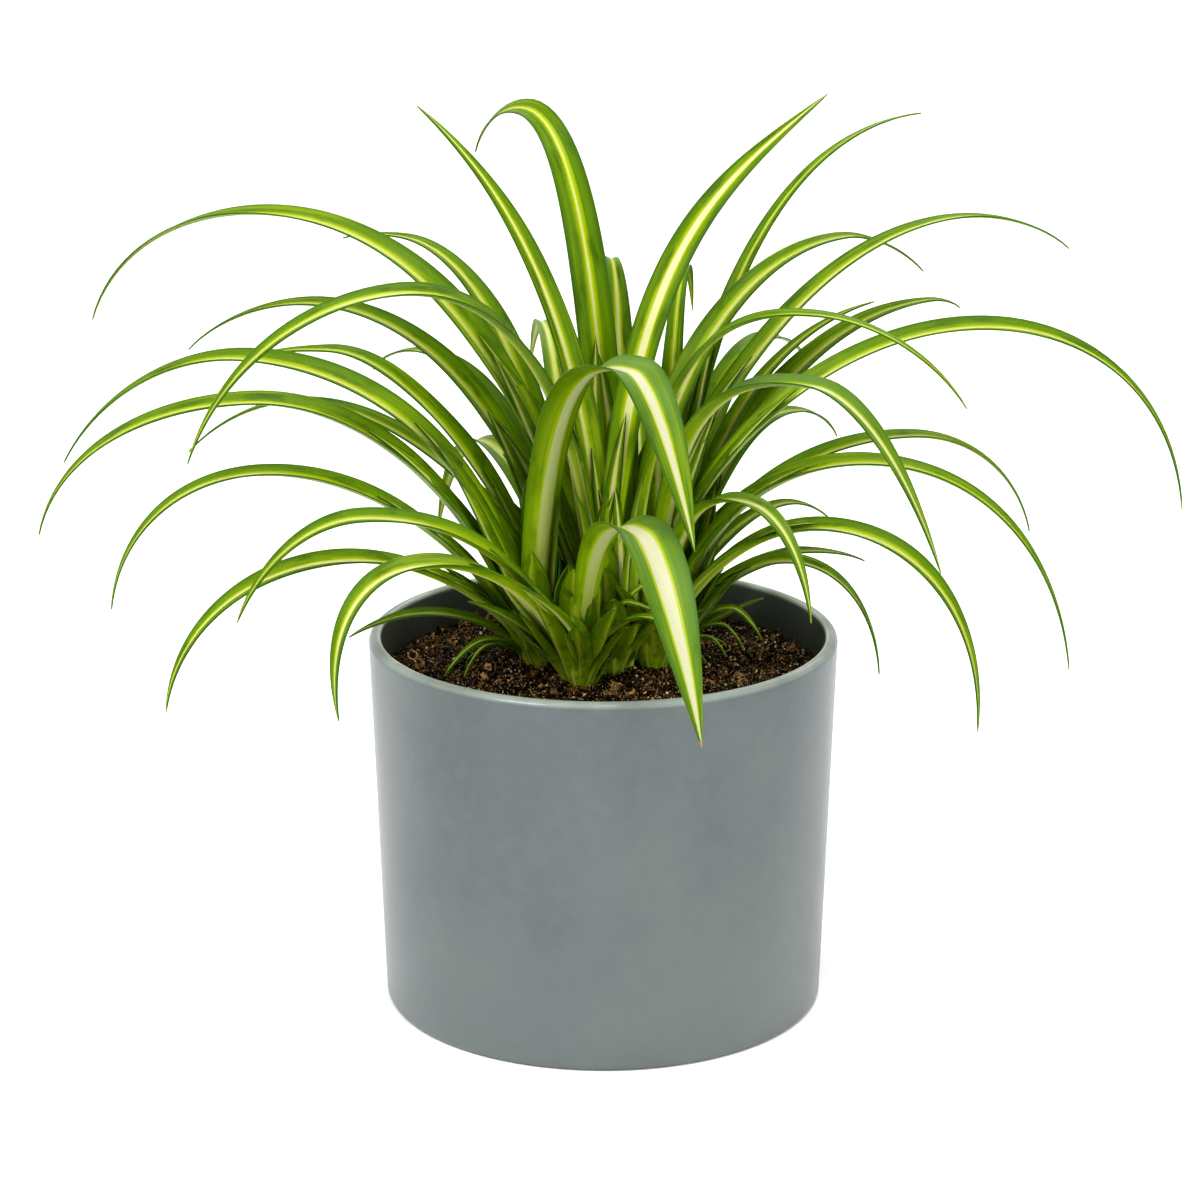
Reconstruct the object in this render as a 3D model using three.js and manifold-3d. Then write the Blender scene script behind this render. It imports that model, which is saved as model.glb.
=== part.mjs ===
// A variegated spider plant in a plain cylindrical ceramic pot. Millimetres, +Z up.
// The origin is the middle of the pot's flat underside, and -Y is the plant's front.
// Each shoot stands in its own hole in the soil. It is a short stem wrapped in the sheaths of its
// leaves, with its young leaves on it. Each long leaf is a blade that is seated on its sheath.

import * as THREE from "three";
import { mergeVertices } from "three/addons/utils/BufferGeometryUtils.js";
import Module from "manifold-3d";

const { clamp, degToRad, lerp, smoothstep } = THREE.MathUtils;

// ---- Driving dimensions ----

const GAP = 0.3; // clearance between pieces that touch
const SAME_POINT = 0.001; // corners closer than this are one

const POT_HEIGHT = 97.4;
const POT_RIM_RADIUS = 60;
const POT_BASE_RADIUS = 56.6;
const POT_WALL = 3.2;
const POT_FLOOR = 5;
const POT_RIM_OUTER_ROUND = 1.9;
const POT_RIM_INNER_ROUND = 0.9;
const POT_FOOT_ROUND = 1.6;
const POT_INNER_CORNER = 5;
const POT_SIDES = 48;
const FOOT_STEPS = 3; // facets round each of its corners
const RIM_OUTER_STEPS = 4;
const RIM_INNER_STEPS = 2;
const INNER_CORNER_STEPS = 4;

const SOIL_EDGE_HEIGHT = 87; // level against the pot's wall
const SOIL_CROWN_RISE = 2.2; // the soil is a little higher round the shoots
const SOIL_LUMP = 0.9; // how far its lumps stand above or below that
const SOIL_FLAT_EDGE = 6; // higher keeps the lumps going until closer to the wall
const SOIL_RINGS = 11;
const SOIL_SIDES = 40;
const SOIL_CORNER_STEPS = 3;

// The soil's lumps are waves that cross at odd angles, so that no two are alike. Each has its share
// of their height, its radians a millimetre along X and along Y, and where it starts.
const LUMP_WAVES = [
  { share: 0.5, alongX: 0.21, alongY: 0.19, start: 0.9 },
  { share: 0.3, alongX: 0.43, alongY: -0.31, start: 0.7 },
  { share: 0.2, alongX: 0.67, alongY: 0.83, start: 1.6 },
];

const STEM_RADIUS = 4.6; // at and below the soil
const STEM_NECK_HEIGHT = 93; // it narrows from here to its top
const STEM_TOP_RADIUS = 2;
const STEM_TOP_HEIGHT = 112;
const STEM_FOOT_HEIGHT = 76; // how deep the stem stands in the soil
const STEM_SIDES = 12;

const BLADE_THICKNESS = 0.75;
const BLADE_ROOT_HEIGHT = 91; // leaf roots are sunk in the stem here
const BLADE_ROOT_REACH = 2; // and this far from its axis, where a leaf's row gives no root
const BLADE_WIDTH = 10; // a leaf's full width, where its row gives none
const SHEATH_LENGTH = 34; // a leaf is fused to its shoot this far along, where its row gives none
const BLADE_SEGMENTS = 11;
const SHEATH_SEGMENTS = 2;
const YOUNG_SEGMENTS = 5;

const ROOT_FOLD = 46; // degrees that each half of the blade is raised from flat, at the root
const MIDDLE_FOLD = 24;
const TIP_FOLD = 16;
const UNFOLDED_AT = 0.4; // share of the length where the blade has opened to its middle fold
const FACE_TURN = 8; // degrees that the blades at the sides are turned to face the front
const TURNED_AT = 0.45; // share of the length by which that turn is complete
const ROOT_WIDTH_SHARE = 0.6; // a leaf's width at its root, where its row gives no neck
const WIDEST_AT = 0.38; // share of the length where it is widest, where its row gives none
const TAPER_POWER = 1.7; // higher keeps the blade wide for longer before its tip
const TIP_WIDTH = 1.2;

const EARLY_BEND = 0.55; // a leaf's bend, where its row gives none
const LATE_BEND = 0.6; // the same for how it comes to its crest and to its tip
const SHORTEST_HANDLE = 0.1; // limits of a span's handles, as shares of the span
const LONGEST_HANDLE = 1.2;

// Shoots: where each stem stands, from the pot's axis.
const SHOOTS = {
  shoot_front: [-6, -17],
  shoot_left: [-16, -3],
  shoot_right: [13, -3],
  shoot_inner: [2, -7],
  shoot_centre: [4, 8],
  shoot_back_left: [-8, 20],
  shoot_back_right: [15, 19],
};

// Long leaves. side: degrees counter-clockwise from +X, the way the leaf points from its shoot.
// crest and tip: [reach from the stem's axis, height]. rise and fall: degrees of slope at the root
// and at the tip. bend: how far the leaf runs straight before it arches, as a share of the way.
// neck: its width at the root, as a share of its full width. widest: share of its length.
const LEAVES = {
  shoot_left: {
    left_06: {
      side: 170, crest: [77, 167], tip: [125, 137], rise: 80, fall: 62, bend: 0.66,
      width: 11.5, root: 1,
    },
    left_07: {
      side: 186, crest: [72, 160.6], tip: [125.6, 127.4], rise: 79, fall: 77, bend: 0.5, width: 11,
      root: 3,
    },
    left_09: { side: 194, crest: [72, 145], tip: [109, 112], rise: 70, fall: 83, bend: 0.5, width: 9.5 },
    left_11: { side: 204, crest: [56, 124], tip: [100, 90], rise: 66, fall: 83, bend: 0.5, width: 9 },
    front_01: {
      side: 300, crest: [45, 176], tip: [75, 138], rise: 89, fall: 66, bend: 0.8, width: 13.2,
      neck: 0.85, widest: 0.68, root: -2.4, sheath: 46,
    },
  },
  shoot_front: {
    left_10: { side: 196, crest: [56, 136.8], tip: [87, 112], rise: 82, fall: 69, bend: 0.5, width: 9.5 },
    left_12: { side: 222, crest: [56, 130.6], tip: [77, 96], rise: 70, fall: 102, bend: 0.6, width: 11 },
    front_02: {
      side: 290, crest: [44, 140.6], tip: [84, 99], rise: 88, fall: 62, bend: 0.7, width: 14.5,
      neck: 0.42, widest: 0.6,
    },
  },
  shoot_right: {
    right_08: {
      side: 322, crest: [48, 170], tip: [86, 129], rise: 89, fall: 68, bend: 0.85, width: 11,
      root: 0,
    },
    right_10: {
      side: 352, crest: [54, 145], tip: [105.4, 92.4], rise: 86, fall: 84, bend: 0.55, width: 9,
      root: 3,
    },
    right_11: { side: 338, crest: [47, 131], tip: [86.2, 82], rise: 78, fall: 92, bend: 0.5, width: 9.5 },
    right_12: { side: 8, crest: [32, 116], tip: [59, 84], rise: 62, fall: 86, bend: 0.5, width: 7 },
    right_14: {
      side: 306, crest: [39, 141], tip: [63, 116], rise: 88, fall: 80, bend: 0.75, width: 8,
      root: 3,
    },
  },
  shoot_inner: {
    top_03: {
      side: 44, tip: [78, 228], rise: 89, fall: -24, bend: 1.03, width: 8.6, roll: 30,
      neck: 0.8, widest: 0.5, root: -1.8, sheath: 50,
    },
    top_01: {
      side: 145, tip: [60, 228], rise: 89, fall: -31, bend: 0.79, width: 9.4, root: 0.6,
      sheath: 50,
    },
    right_05: {
      side: 338, crest: [53, 186], tip: [92, 166], rise: 89, fall: 56, bend: 0.84, width: 7.5,
      root: 5, sheath: 40,
    },
  },
  shoot_centre: {
    left_01: {
      side: 156, crest: [97, 197], tip: [155, 163], rise: 76, fall: 70, bend: 0.72, width: 12,
      root: 4,
    },
    left_03: {
      side: 203, crest: [59, 189], tip: [114, 151], rise: 88, fall: 70, bend: 0.69, width: 11,
      root: 5,
    },
    top_02: {
      side: 125, crest: [42, 225], tip: [66, 210], rise: 88, fall: 66, bend: 0.73, width: 10.6,
      roll: -34, root: 3,
    },
    top_04: {
      side: 84, crest: [34, 186], tip: [46, 176], rise: 88, fall: 50, bend: 0.7, sweep: 12,
      width: 10, root: 6, sheath: 50,
    },
    right_02: {
      side: 36, crest: [72, 190], tip: [101, 177], rise: 88, fall: 43, bend: 0.62, width: 10,
      root: 3, sheath: 50,
    },
    right_03: {
      side: 21, crest: [96, 196.8], tip: [127, 186], rise: 77, fall: 42, bend: 0.54, width: 9.5,
      root: 1,
    },
    right_07: {
      side: 2, crest: [92, 175], tip: [145, 126], rise: 79, fall: 84, bend: 0.53, width: 10,
      root: 4,
    },
  },
  shoot_back_left: {
    left_02: { side: 142, crest: [57, 189], tip: [78, 186], rise: 88, fall: 20, bend: 0.52, width: 10 },
    left_04: { side: 158, crest: [71, 173], tip: [111, 157], rise: 84, fall: 46, bend: 0.56, width: 10 },
    left_05: { side: 173, crest: [63, 165], tip: [84, 162], rise: 70, fall: 30, bend: 0.55, width: 11 },
    left_08: { side: 166, crest: [72, 149], tip: [105, 133], rise: 71, fall: 48, bend: 0.5, width: 8 },
    back_01: { side: 132, crest: [58, 156], tip: [82, 147], rise: 82, fall: 50, width: 9 },
    back_02: { side: 116, crest: [54, 130], tip: [88, 96], rise: 68, fall: 76, width: 9 },
    back_03: { side: 97, crest: [70, 158], tip: [104, 138], rise: 76, fall: 60, width: 7, root: 3 },
    back_04: { side: 88, crest: [58, 134], tip: [92, 98], rise: 70, fall: 76, width: 9 },
  },
  shoot_back_right: {
    top_05: { side: 74, crest: [24, 184], tip: [31, 170], rise: 88, fall: 79, bend: 0.7, width: 7 },
    right_01: {
      side: 48, tip: [107, 214.5], rise: 88, fall: 3, bend: 0.68, width: 6, widest: 0.25,
      root: 3,
    },
    right_04: { side: 31, tip: [66, 172], rise: 86, fall: -6, bend: 0.66, width: 6, root: 4 },
    right_06: {
      side: 24, crest: [78, 173], tip: [87, 170], rise: 83, fall: 40, bend: 0.5, width: 11,
      root: 3,
    },
    right_09: { side: 5, crest: [65, 143], tip: [97, 116], rise: 82, fall: 78, bend: 0.5, width: 8.5 },
    right_15: { side: 15, crest: [38, 110.4], tip: [56, 106.4], rise: 52, fall: 30, bend: 0.5, width: 5.5 },
    back_05: { side: 98, crest: [66, 152], tip: [106, 112], rise: 78, fall: 74, width: 10 },
    back_06: { side: 82, crest: [60, 136], tip: [94, 98], rise: 70, fall: 78, width: 9 },
    back_07: { side: 64, crest: [62, 157], tip: [96, 144], rise: 80, fall: 40, width: 10 },
    back_08: { side: 46, crest: [48, 142], tip: [70, 131], rise: 74, fall: 60, width: 8 },
    back_09: { side: 34, crest: [40, 120], tip: [56, 112.4], rise: 66, fall: 50, width: 6 },
  },
};

// Young and basal leaves, fused to the shoot that they grow on.
const YOUNG_LEAVES = {
  shoot_left: [
    { side: 196, crest: [32, 106], tip: [50, 101], rise: 56, fall: 30, width: 5.5 },
    { side: 215, crest: [17, 99], tip: [29, 92], rise: 50, fall: 48, width: 3.2 },
    { side: 100, tip: [8, 140], rise: 88, fall: -70, width: 8 },
    { side: 188, tip: [24, 116], rise: 64, fall: -30, width: 6 },
    { side: 20, tip: [5, 134], rise: 89, fall: -75, width: 7 },
  ],
  shoot_front: [
    { side: 318, crest: [24, 111], tip: [36, 104], rise: 74, fall: 50, width: 4 },
    { side: 110, tip: [4, 134], rise: 89, fall: -80, width: 8 },
    { side: 350, crest: [12, 111], tip: [21, 108], rise: 72, fall: 26, width: 3.6 },
    { side: 262, tip: [6, 106], rise: 80, fall: -84, width: 8 },
    { side: 196, tip: [17, 106], rise: 56, fall: -46, width: 7 },
  ],
  shoot_right: [
    { side: 347, crest: [20, 106], tip: [28, 98], rise: 62, fall: 62, width: 4 },
    { side: 8, tip: [28, 106], rise: 50, fall: -18, width: 4.5 },
    { side: 84, tip: [8, 146], rise: 89, fall: -74, width: 8 },
    { side: 18, tip: [34, 117], rise: 62, fall: -12, width: 6 },
  ],
  shoot_inner: [
    { side: 250, tip: [4, 150], rise: 89, fall: -80, width: 8 },
    { side: 200, tip: [9, 136], rise: 86, fall: -66, width: 8 },
  ],
  shoot_centre: [
    { side: 270, tip: [5, 158], rise: 89, fall: -80, width: 8 },
    { side: 340, tip: [10, 134], rise: 86, fall: -66, width: 8 },
  ],
  shoot_back_left: [
    { side: 50, tip: [8, 150], rise: 88, fall: -74, width: 8 },
    { side: 200, tip: [13, 132], rise: 84, fall: -60, width: 8 },
  ],
  shoot_back_right: [
    { side: 180, tip: [7, 133], rise: 88, fall: -74, width: 8 },
    { side: 330, tip: [9, 128], rise: 84, fall: -60, width: 8 },
  ],
};

// ---- Materials ----

const glazedGrey = new THREE.MeshStandardMaterial({ color: 0x7d8a8a, roughness: 0.55, metalness: 0 });
const pottingSoil = new THREE.MeshStandardMaterial({ color: 0x2e2018, roughness: 0.95, metalness: 0 });
const paleSheath = new THREE.MeshStandardMaterial({ color: 0x93ad4a, roughness: 0.5, metalness: 0 });
const leafGreen = new THREE.MeshStandardMaterial({ color: 0x5f9426, roughness: 0.42, metalness: 0 });

// ---- Solids ----

const manifold = await Module();
manifold.setup();

function toSolid(geometry) {
  const bare = geometry.index ? geometry.toNonIndexed() : geometry.clone();
  bare.deleteAttribute("normal");
  bare.deleteAttribute("uv");
  const merged = mergeVertices(bare, SAME_POINT);
  return new manifold.Manifold(
    new manifold.Mesh({
      numProp: 3,
      vertProperties: merged.attributes.position.array,
      triVerts: new Uint32Array(merged.index.array),
    }),
  );
}

function toGeometry(solid) {
  const mesh = solid.getMesh();
  const geometry = new THREE.BufferGeometry();
  geometry.setAttribute("position", new THREE.BufferAttribute(mesh.vertProperties, 3));
  geometry.setIndex(new THREE.BufferAttribute(mesh.triVerts, 1));
  geometry.computeVertexNormals();
  return geometry;
}

// Joins solids into one body: a hollow that joining seals is filled, and a loose scrap is dropped.
function fuse(solids) {
  const bodies = solids.reduce((whole, piece) => whole.add(piece)).decompose();
  return bodies.reduce((largest, body) => (body.volume() > largest.volume() ? body : largest));
}

function meshOf(positions, triangles) {
  const geometry = new THREE.BufferGeometry();
  geometry.setAttribute("position", new THREE.Float32BufferAttribute(positions, 3));
  geometry.setIndex(triangles);
  return geometry;
}

function turned(profile, sides) {
  const points = profile.map(([radius, height]) => new THREE.Vector2(radius, height));
  return new THREE.LatheGeometry(points, sides).rotateX(Math.PI / 2);
}

// Points of a rounded corner, as [radius, height], from one angle to the other.
function roundedCorner(centreRadius, centreHeight, round, fromDegrees, toDegrees, steps) {
  const points = [];
  for (let i = 0; i <= steps; i++) {
    const angle = degToRad(lerp(fromDegrees, toDegrees, i / steps));
    points.push([centreRadius + round * Math.cos(angle), centreHeight + round * Math.sin(angle)]);
  }
  return points;
}

// ---- Pot ----

const POT_INNER_RIM_RADIUS = POT_RIM_RADIUS - POT_WALL;
const POT_INNER_FLOOR_RADIUS = POT_BASE_RADIUS - POT_WALL;

function potInnerRadius(height) {
  return lerp(POT_INNER_FLOOR_RADIUS, POT_INNER_RIM_RADIUS, height / POT_HEIGHT);
}

function makePot() {
  const foot = POT_FOOT_ROUND;
  const outer = POT_RIM_OUTER_ROUND;
  const inner = POT_RIM_INNER_ROUND;
  const corner = POT_INNER_CORNER;
  const cornerRadius = POT_INNER_FLOOR_RADIUS - corner;
  const profile = [
    [0, 0],
    ...roundedCorner(POT_BASE_RADIUS - foot, foot, foot, -90, 0, FOOT_STEPS),
    ...roundedCorner(POT_RIM_RADIUS - outer, POT_HEIGHT - outer, outer, 0, 90, RIM_OUTER_STEPS),
    ...roundedCorner(POT_INNER_RIM_RADIUS + inner, POT_HEIGHT - inner, inner, 90, 180, RIM_INNER_STEPS),
    ...roundedCorner(cornerRadius, POT_FLOOR + corner, corner, 0, -90, INNER_CORNER_STEPS),
    [0, POT_FLOOR],
  ];
  return turned(profile, POT_SIDES);
}

// ---- Soil ----

function lumps(x, y) {
  let height = 0;
  for (const { share, alongX, alongY, start } of LUMP_WAVES) {
    height += share * Math.sin(alongX * x + alongY * y + start);
  }
  return SOIL_LUMP * height;
}

function soilHeight(x, y, radius) {
  const share = Math.hypot(x, y) / radius;
  const mound = SOIL_CROWN_RISE * (1 - share * share);
  return SOIL_EDGE_HEIGHT + mound + lumps(x, y) * (1 - share ** SOIL_FLAT_EDGE);
}

// The soil fills the pot: a lumpy top over a plug that follows the pot's inside. It is built of
// rings, [radius, height], from the middle of the top, over the edge, to the underside's edge.
function makeSoil() {
  const bottom = POT_FLOOR + GAP;
  const corner = POT_INNER_CORNER;
  const topRadius = potInnerRadius(SOIL_EDGE_HEIGHT) - GAP;
  const cornerRadius = POT_INNER_FLOOR_RADIUS - GAP - corner;
  const rings = [];
  for (let ring = 1; ring <= SOIL_RINGS; ring++) {
    rings.push([(topRadius * ring) / SOIL_RINGS, null]);
  }
  rings.push(...roundedCorner(cornerRadius, bottom + corner, corner, 0, -90, SOIL_CORNER_STEPS));

  const positions = [0, 0, soilHeight(0, 0, topRadius)];
  for (const [radius, height] of rings) {
    for (let side = 0; side < SOIL_SIDES; side++) {
      const angle = (2 * Math.PI * side) / SOIL_SIDES;
      const x = radius * Math.cos(angle);
      const y = radius * Math.sin(angle);
      positions.push(x, y, height ?? soilHeight(x, y, topRadius));
    }
  }
  positions.push(0, 0, bottom);

  const triangles = [];
  const firstOf = (ring) => 1 + ring * SOIL_SIDES;
  const lastRing = firstOf(rings.length - 1);
  const underside = firstOf(rings.length);
  for (let side = 0; side < SOIL_SIDES; side++) {
    const next = (side + 1) % SOIL_SIDES;
    triangles.push(0, 1 + side, 1 + next);
    for (let ring = 0; ring < rings.length - 1; ring++) {
      const near = firstOf(ring);
      const far = firstOf(ring + 1);
      triangles.push(near + side, far + side, far + next, near + side, far + next, near + next);
    }
    triangles.push(underside, lastRing + next, lastRing + side);
  }

  let soil = toSolid(meshOf(positions, triangles));
  for (const [x, y] of Object.values(SHOOTS)) {
    soil = soil.subtract(toSolid(stemHole(x, y)));
  }
  return toGeometry(soil);
}

// The plain round hole that a stem stands in.
function stemHole(x, y) {
  const foot = STEM_FOOT_HEIGHT - GAP;
  const radius = STEM_RADIUS + GAP;
  return turned([[0, foot], [radius, foot], [radius, POT_HEIGHT], [0, POT_HEIGHT]], STEM_SIDES)
    .translate(x, y, 0);
}

// ---- Leaves ----

// A span of the midrib, in [reach, height], that leaves one point at one slope and comes to the
// other at another. Its handles run towards the point where the two slopes meet.
function span(start, startSlope, end, endSlope, bend) {
  const from = new THREE.Vector2(...start);
  const to = new THREE.Vector2(...end);
  const leaving = new THREE.Vector2(Math.cos(startSlope), Math.sin(startSlope));
  const coming = new THREE.Vector2(Math.cos(endSlope), Math.sin(endSlope));
  const chord = to.clone().sub(from);
  const turn = leaving.cross(coming);
  const shortest = SHORTEST_HANDLE * chord.length();
  const longest = LONGEST_HANDLE * chord.length();
  const first = clamp(chord.cross(coming) / turn, shortest, longest);
  const second = clamp(leaving.cross(chord) / turn, shortest, longest);
  return new THREE.CubicBezierCurve(
    from,
    from.clone().addScaledVector(leaving, bend * first),
    to.clone().addScaledVector(coming, -LATE_BEND * second),
    to,
  );
}

function midrib({ root = BLADE_ROOT_REACH, crest, tip, rise, fall, bend = EARLY_BEND }) {
  const start = [root, BLADE_ROOT_HEIGHT];
  const startSlope = degToRad(rise);
  const tipSlope = degToRad(-fall);
  const path = new THREE.CurvePath();
  if (crest) {
    path.add(span(start, startSlope, crest, 0, bend));
    path.add(span(crest, 0, tip, tipSlope, LATE_BEND));
  } else {
    path.add(span(start, startSlope, tip, tipSlope, bend));
  }
  return path;
}

function bladeWidth(leaf, along) {
  const { width = BLADE_WIDTH, neck = ROOT_WIDTH_SHARE, widest = WIDEST_AT } = leaf;
  const swell = lerp(neck, 1, smoothstep(along, 0, widest));
  const taper = 1 - Math.max(0, (along - widest) / (1 - widest)) ** TAPER_POWER;
  return Math.max(TIP_WIDTH, width * swell * taper);
}

function bladeFold(along) {
  const opening = lerp(ROOT_FOLD, MIDDLE_FOLD, smoothstep(along, 0, UNFOLDED_AT));
  return degToRad(lerp(opening, TIP_FOLD, smoothstep(along, UNFOLDED_AT, 1)));
}

// Where the blade stands at one share of its length: the point on its midrib, the unit vector
// across it, and the unit vector out of its upper face.
function bladeStation(shoot, leaf, path, along) {
  const side = degToRad(leaf.side + (leaf.sweep ?? 0) * along * along);
  const point = path.getPointAt(along);
  const slope = path.getTangentAt(along);
  const outward = new THREE.Vector3(Math.cos(side), Math.sin(side), 0);
  const heading = outward.clone().multiplyScalar(slope.x).setZ(slope.y);
  const centre = outward.clone().multiplyScalar(point.x).add(new THREE.Vector3(...shoot, point.y));
  const roll = leaf.roll ?? FACE_TURN * Math.cos(degToRad(leaf.side));
  const across = new THREE.Vector3(Math.sin(side), -Math.cos(side), 0)
    .applyAxisAngle(heading, degToRad(roll) * smoothstep(along, 0, TURNED_AT));
  const upward = new THREE.Vector3().crossVectors(across, heading);
  return { centre, across, upward };
}

// One stretch of a leaf, from one share of its length to another: a blade with a V-shaped
// section, whose edges are raised by half the V's depth and whose midrib is lowered by as much.
function leafStretch(shoot, leaf, path, fromShare, toShare, segments) {
  const positions = [];
  for (let i = 0; i <= segments; i++) {
    const along = lerp(fromShare, toShare, i / segments);
    const { centre, across, upward } = bladeStation(shoot, leaf, path, along);
    const fold = bladeFold(along);
    const halfWidth = bladeWidth(leaf, along) / 2;
    const reach = halfWidth * Math.cos(fold);
    const rise = (halfWidth * Math.sin(fold)) / 2;
    const depth = BLADE_THICKNESS / Math.cos(fold);
    const section = [[-reach, rise], [0, -rise], [reach, rise]];
    section.push([reach, rise - depth], [0, -rise - depth], [-reach, rise - depth]);
    for (const [sideways, raised] of section) {
      const corner = centre.clone().addScaledVector(across, sideways).addScaledVector(upward, raised);
      positions.push(...corner);
    }
  }

  // A section's corners: 0 1 2 over the top from edge to edge, 3 4 5 back along the underside.
  const triangles = [0, 4, 1, 0, 5, 4, 1, 4, 3, 1, 3, 2];
  for (let i = 0; i < segments; i++) {
    const here = 6 * i;
    const next = here + 6;
    for (const [a, b] of [[0, 1], [1, 2], [2, 3], [5, 0]]) {
      triangles.push(here + a, here + b, next + b, here + a, next + b, next + a);
    }
    for (const [a, b] of [[3, 4], [4, 5]]) {
      triangles.push(here + a, here + b, next + a, here + b, next + b, next + a);
    }
  }
  const end = 6 * segments;
  triangles.push(end, end + 1, end + 4, end, end + 4, end + 5);
  triangles.push(end + 1, end + 3, end + 4, end + 1, end + 2, end + 3);
  return meshOf(positions, triangles);
}

function sheathShare(leaf, path) {
  return (leaf.sheath ?? SHEATH_LENGTH) / path.getLength();
}

function makeBlade(shoot, leaf) {
  const path = midrib(leaf);
  const from = sheathShare(leaf, path) + GAP / path.getLength();
  return leafStretch(shoot, leaf, path, from, 1, BLADE_SEGMENTS);
}

// ---- Shoots ----

function makeStem(x, y) {
  const profile = [
    [0, STEM_FOOT_HEIGHT],
    [STEM_RADIUS, STEM_FOOT_HEIGHT],
    [STEM_RADIUS, STEM_NECK_HEIGHT],
    [STEM_TOP_RADIUS, STEM_TOP_HEIGHT],
    [0, STEM_TOP_HEIGHT],
  ];
  return turned(profile, STEM_SIDES).translate(x, y, 0);
}

function makeShoot(name) {
  const [x, y] = SHOOTS[name];
  const pieces = [toSolid(makeStem(x, y))];
  for (const leaf of Object.values(LEAVES[name])) {
    const path = midrib(leaf);
    const to = sheathShare(leaf, path);
    pieces.push(toSolid(leafStretch([x, y], leaf, path, 0, to, SHEATH_SEGMENTS)));
  }
  for (const leaf of YOUNG_LEAVES[name]) {
    pieces.push(toSolid(leafStretch([x, y], leaf, midrib(leaf), 0, 1, YOUNG_SEGMENTS)));
  }
  return toGeometry(fuse(pieces));
}

// ---- The plant in its pot ----

const plant = new THREE.Group();

function addPiece(name, geometry, material) {
  const piece = new THREE.Mesh(geometry, material);
  piece.name = name;
  plant.add(piece);
}

addPiece("pot", makePot(), glazedGrey);
addPiece("soil", makeSoil(), pottingSoil);
for (const [name, place] of Object.entries(SHOOTS)) {
  addPiece(name, makeShoot(name), paleSheath);
  for (const [leafName, leaf] of Object.entries(LEAVES[name])) {
    addPiece(`leaf_${leafName}`, makeBlade(place, leaf), leafGreen);
  }
}

export default plant;
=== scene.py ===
import functools
import itertools
import math
import random

import bmesh
import bpy
from mathutils import Matrix, Vector, noise
from mathutils.geometry import interpolate_bezier


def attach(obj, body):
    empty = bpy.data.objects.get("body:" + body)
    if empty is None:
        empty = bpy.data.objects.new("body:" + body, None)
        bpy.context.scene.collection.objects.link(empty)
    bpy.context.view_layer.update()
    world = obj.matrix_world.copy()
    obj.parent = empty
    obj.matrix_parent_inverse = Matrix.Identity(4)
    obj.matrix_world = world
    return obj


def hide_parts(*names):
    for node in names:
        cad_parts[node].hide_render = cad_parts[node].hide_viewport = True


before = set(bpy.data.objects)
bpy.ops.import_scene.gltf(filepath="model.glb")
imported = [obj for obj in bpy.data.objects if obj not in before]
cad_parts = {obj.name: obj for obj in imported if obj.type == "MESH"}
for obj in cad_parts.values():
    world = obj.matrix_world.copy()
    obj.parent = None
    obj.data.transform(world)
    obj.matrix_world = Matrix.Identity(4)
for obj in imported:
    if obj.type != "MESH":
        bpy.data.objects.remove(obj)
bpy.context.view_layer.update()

# A variegated spider plant in a plain cylindrical pot. -Y is its front. Lengths are in
# millimetres and angles in degrees, and MM turns a length into metres. Only the lamps and the
# camera are placed in metres.

MM = 0.001

# How far apart two leaves, or two crumbs, are cut from the same noise.
LEAF_PATTERN_STEP = 3.7
CRUMB_PATTERN_STEP = 7.1

# ---- Pot ----
POT_HEIGHT = 97.4
POT_RIM_RADIUS = 60.0
POT_BASE_RADIUS = 56.6
POT_WALL = 3.2
POT_FLOOR = 5.0
POT_RIM_OUTER_ROUND = 1.9
POT_RIM_INNER_ROUND = 0.9
POT_FOOT_ROUND = 1.6
POT_SIDES = 160

# ---- Soil ----
SOIL_EDGE_HEIGHT = 87.0
SOIL_CROWN_RISE = 2.2
SOIL_LUMP = 0.9
# Waves of its lumps: share of their height, radians a millimetre along X and Y, and start.
LUMP_WAVES = ((0.5, 0.21, 0.19, 0.9), (0.3, 0.43, -0.31, 0.7), (0.2, 0.67, 0.83, 1.6))
SOIL_CRUMB_HEIGHT = 2.0
SOIL_RADIUS = 56.1
# Below this height its side turns in to the smaller foot.
SOIL_SHOULDER_HEIGHT = POT_FLOOR + 5
SOIL_FOOT_RADIUS = 48.5
SOIL_CLEARANCE = 0.3
SOIL_SIDES = 240
SOIL_RINGS = 80
# Loose crumbs lie within this radius, and this far from the middle of each shoot.
STREWN_RADIUS = SOIL_RADIUS - 2
SHOOT_KEEP_OFF = 4.2

# ---- Stems ----
STEM_SIDES = 16
STEM_FOOT_HEIGHT = 78.0
# Height and radius of each ring, from below the soil to inside the leaf bases.
STEM_RINGS = ((86, 3.2), (90, 3.6), (95, 3.4), (102, 2.6), (110, 1.4))

# ---- Leaves ----
BLADE_THICKNESS = 0.42
BLADE_ROOT_HEIGHT = 91.0
# How steeply a blade's halves stand at its midrib, and how far one that points sideways turns
# its face to the front.
ROOT_FOLD = 46.0
MIDDLE_FOLD = 28.0
TIP_FOLD = 18.0
FACE_TURN = 10.0
# What a leaf has unless its row says otherwise.
ROOT_WIDTH_SHARE = 0.6
WIDEST_AT = 0.38
TAPER_POWER = 1.7
TIP_WIDTH = 0.3
EARLY_BEND = 0.55
LATE_BEND = 0.6
# Points on each span of a midrib, and faces across and along a blade.
SPAN_POINTS = 120
LONG_LEAF_FACES = (10, 64)
SMALL_LEAF_FACES = (6, 28)

# Leaves that point between these sides come to the front and stand free, or are at the back.
FACING_SIDES = (280, 330)
BACK_SIDES = (40, 140)

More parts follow.
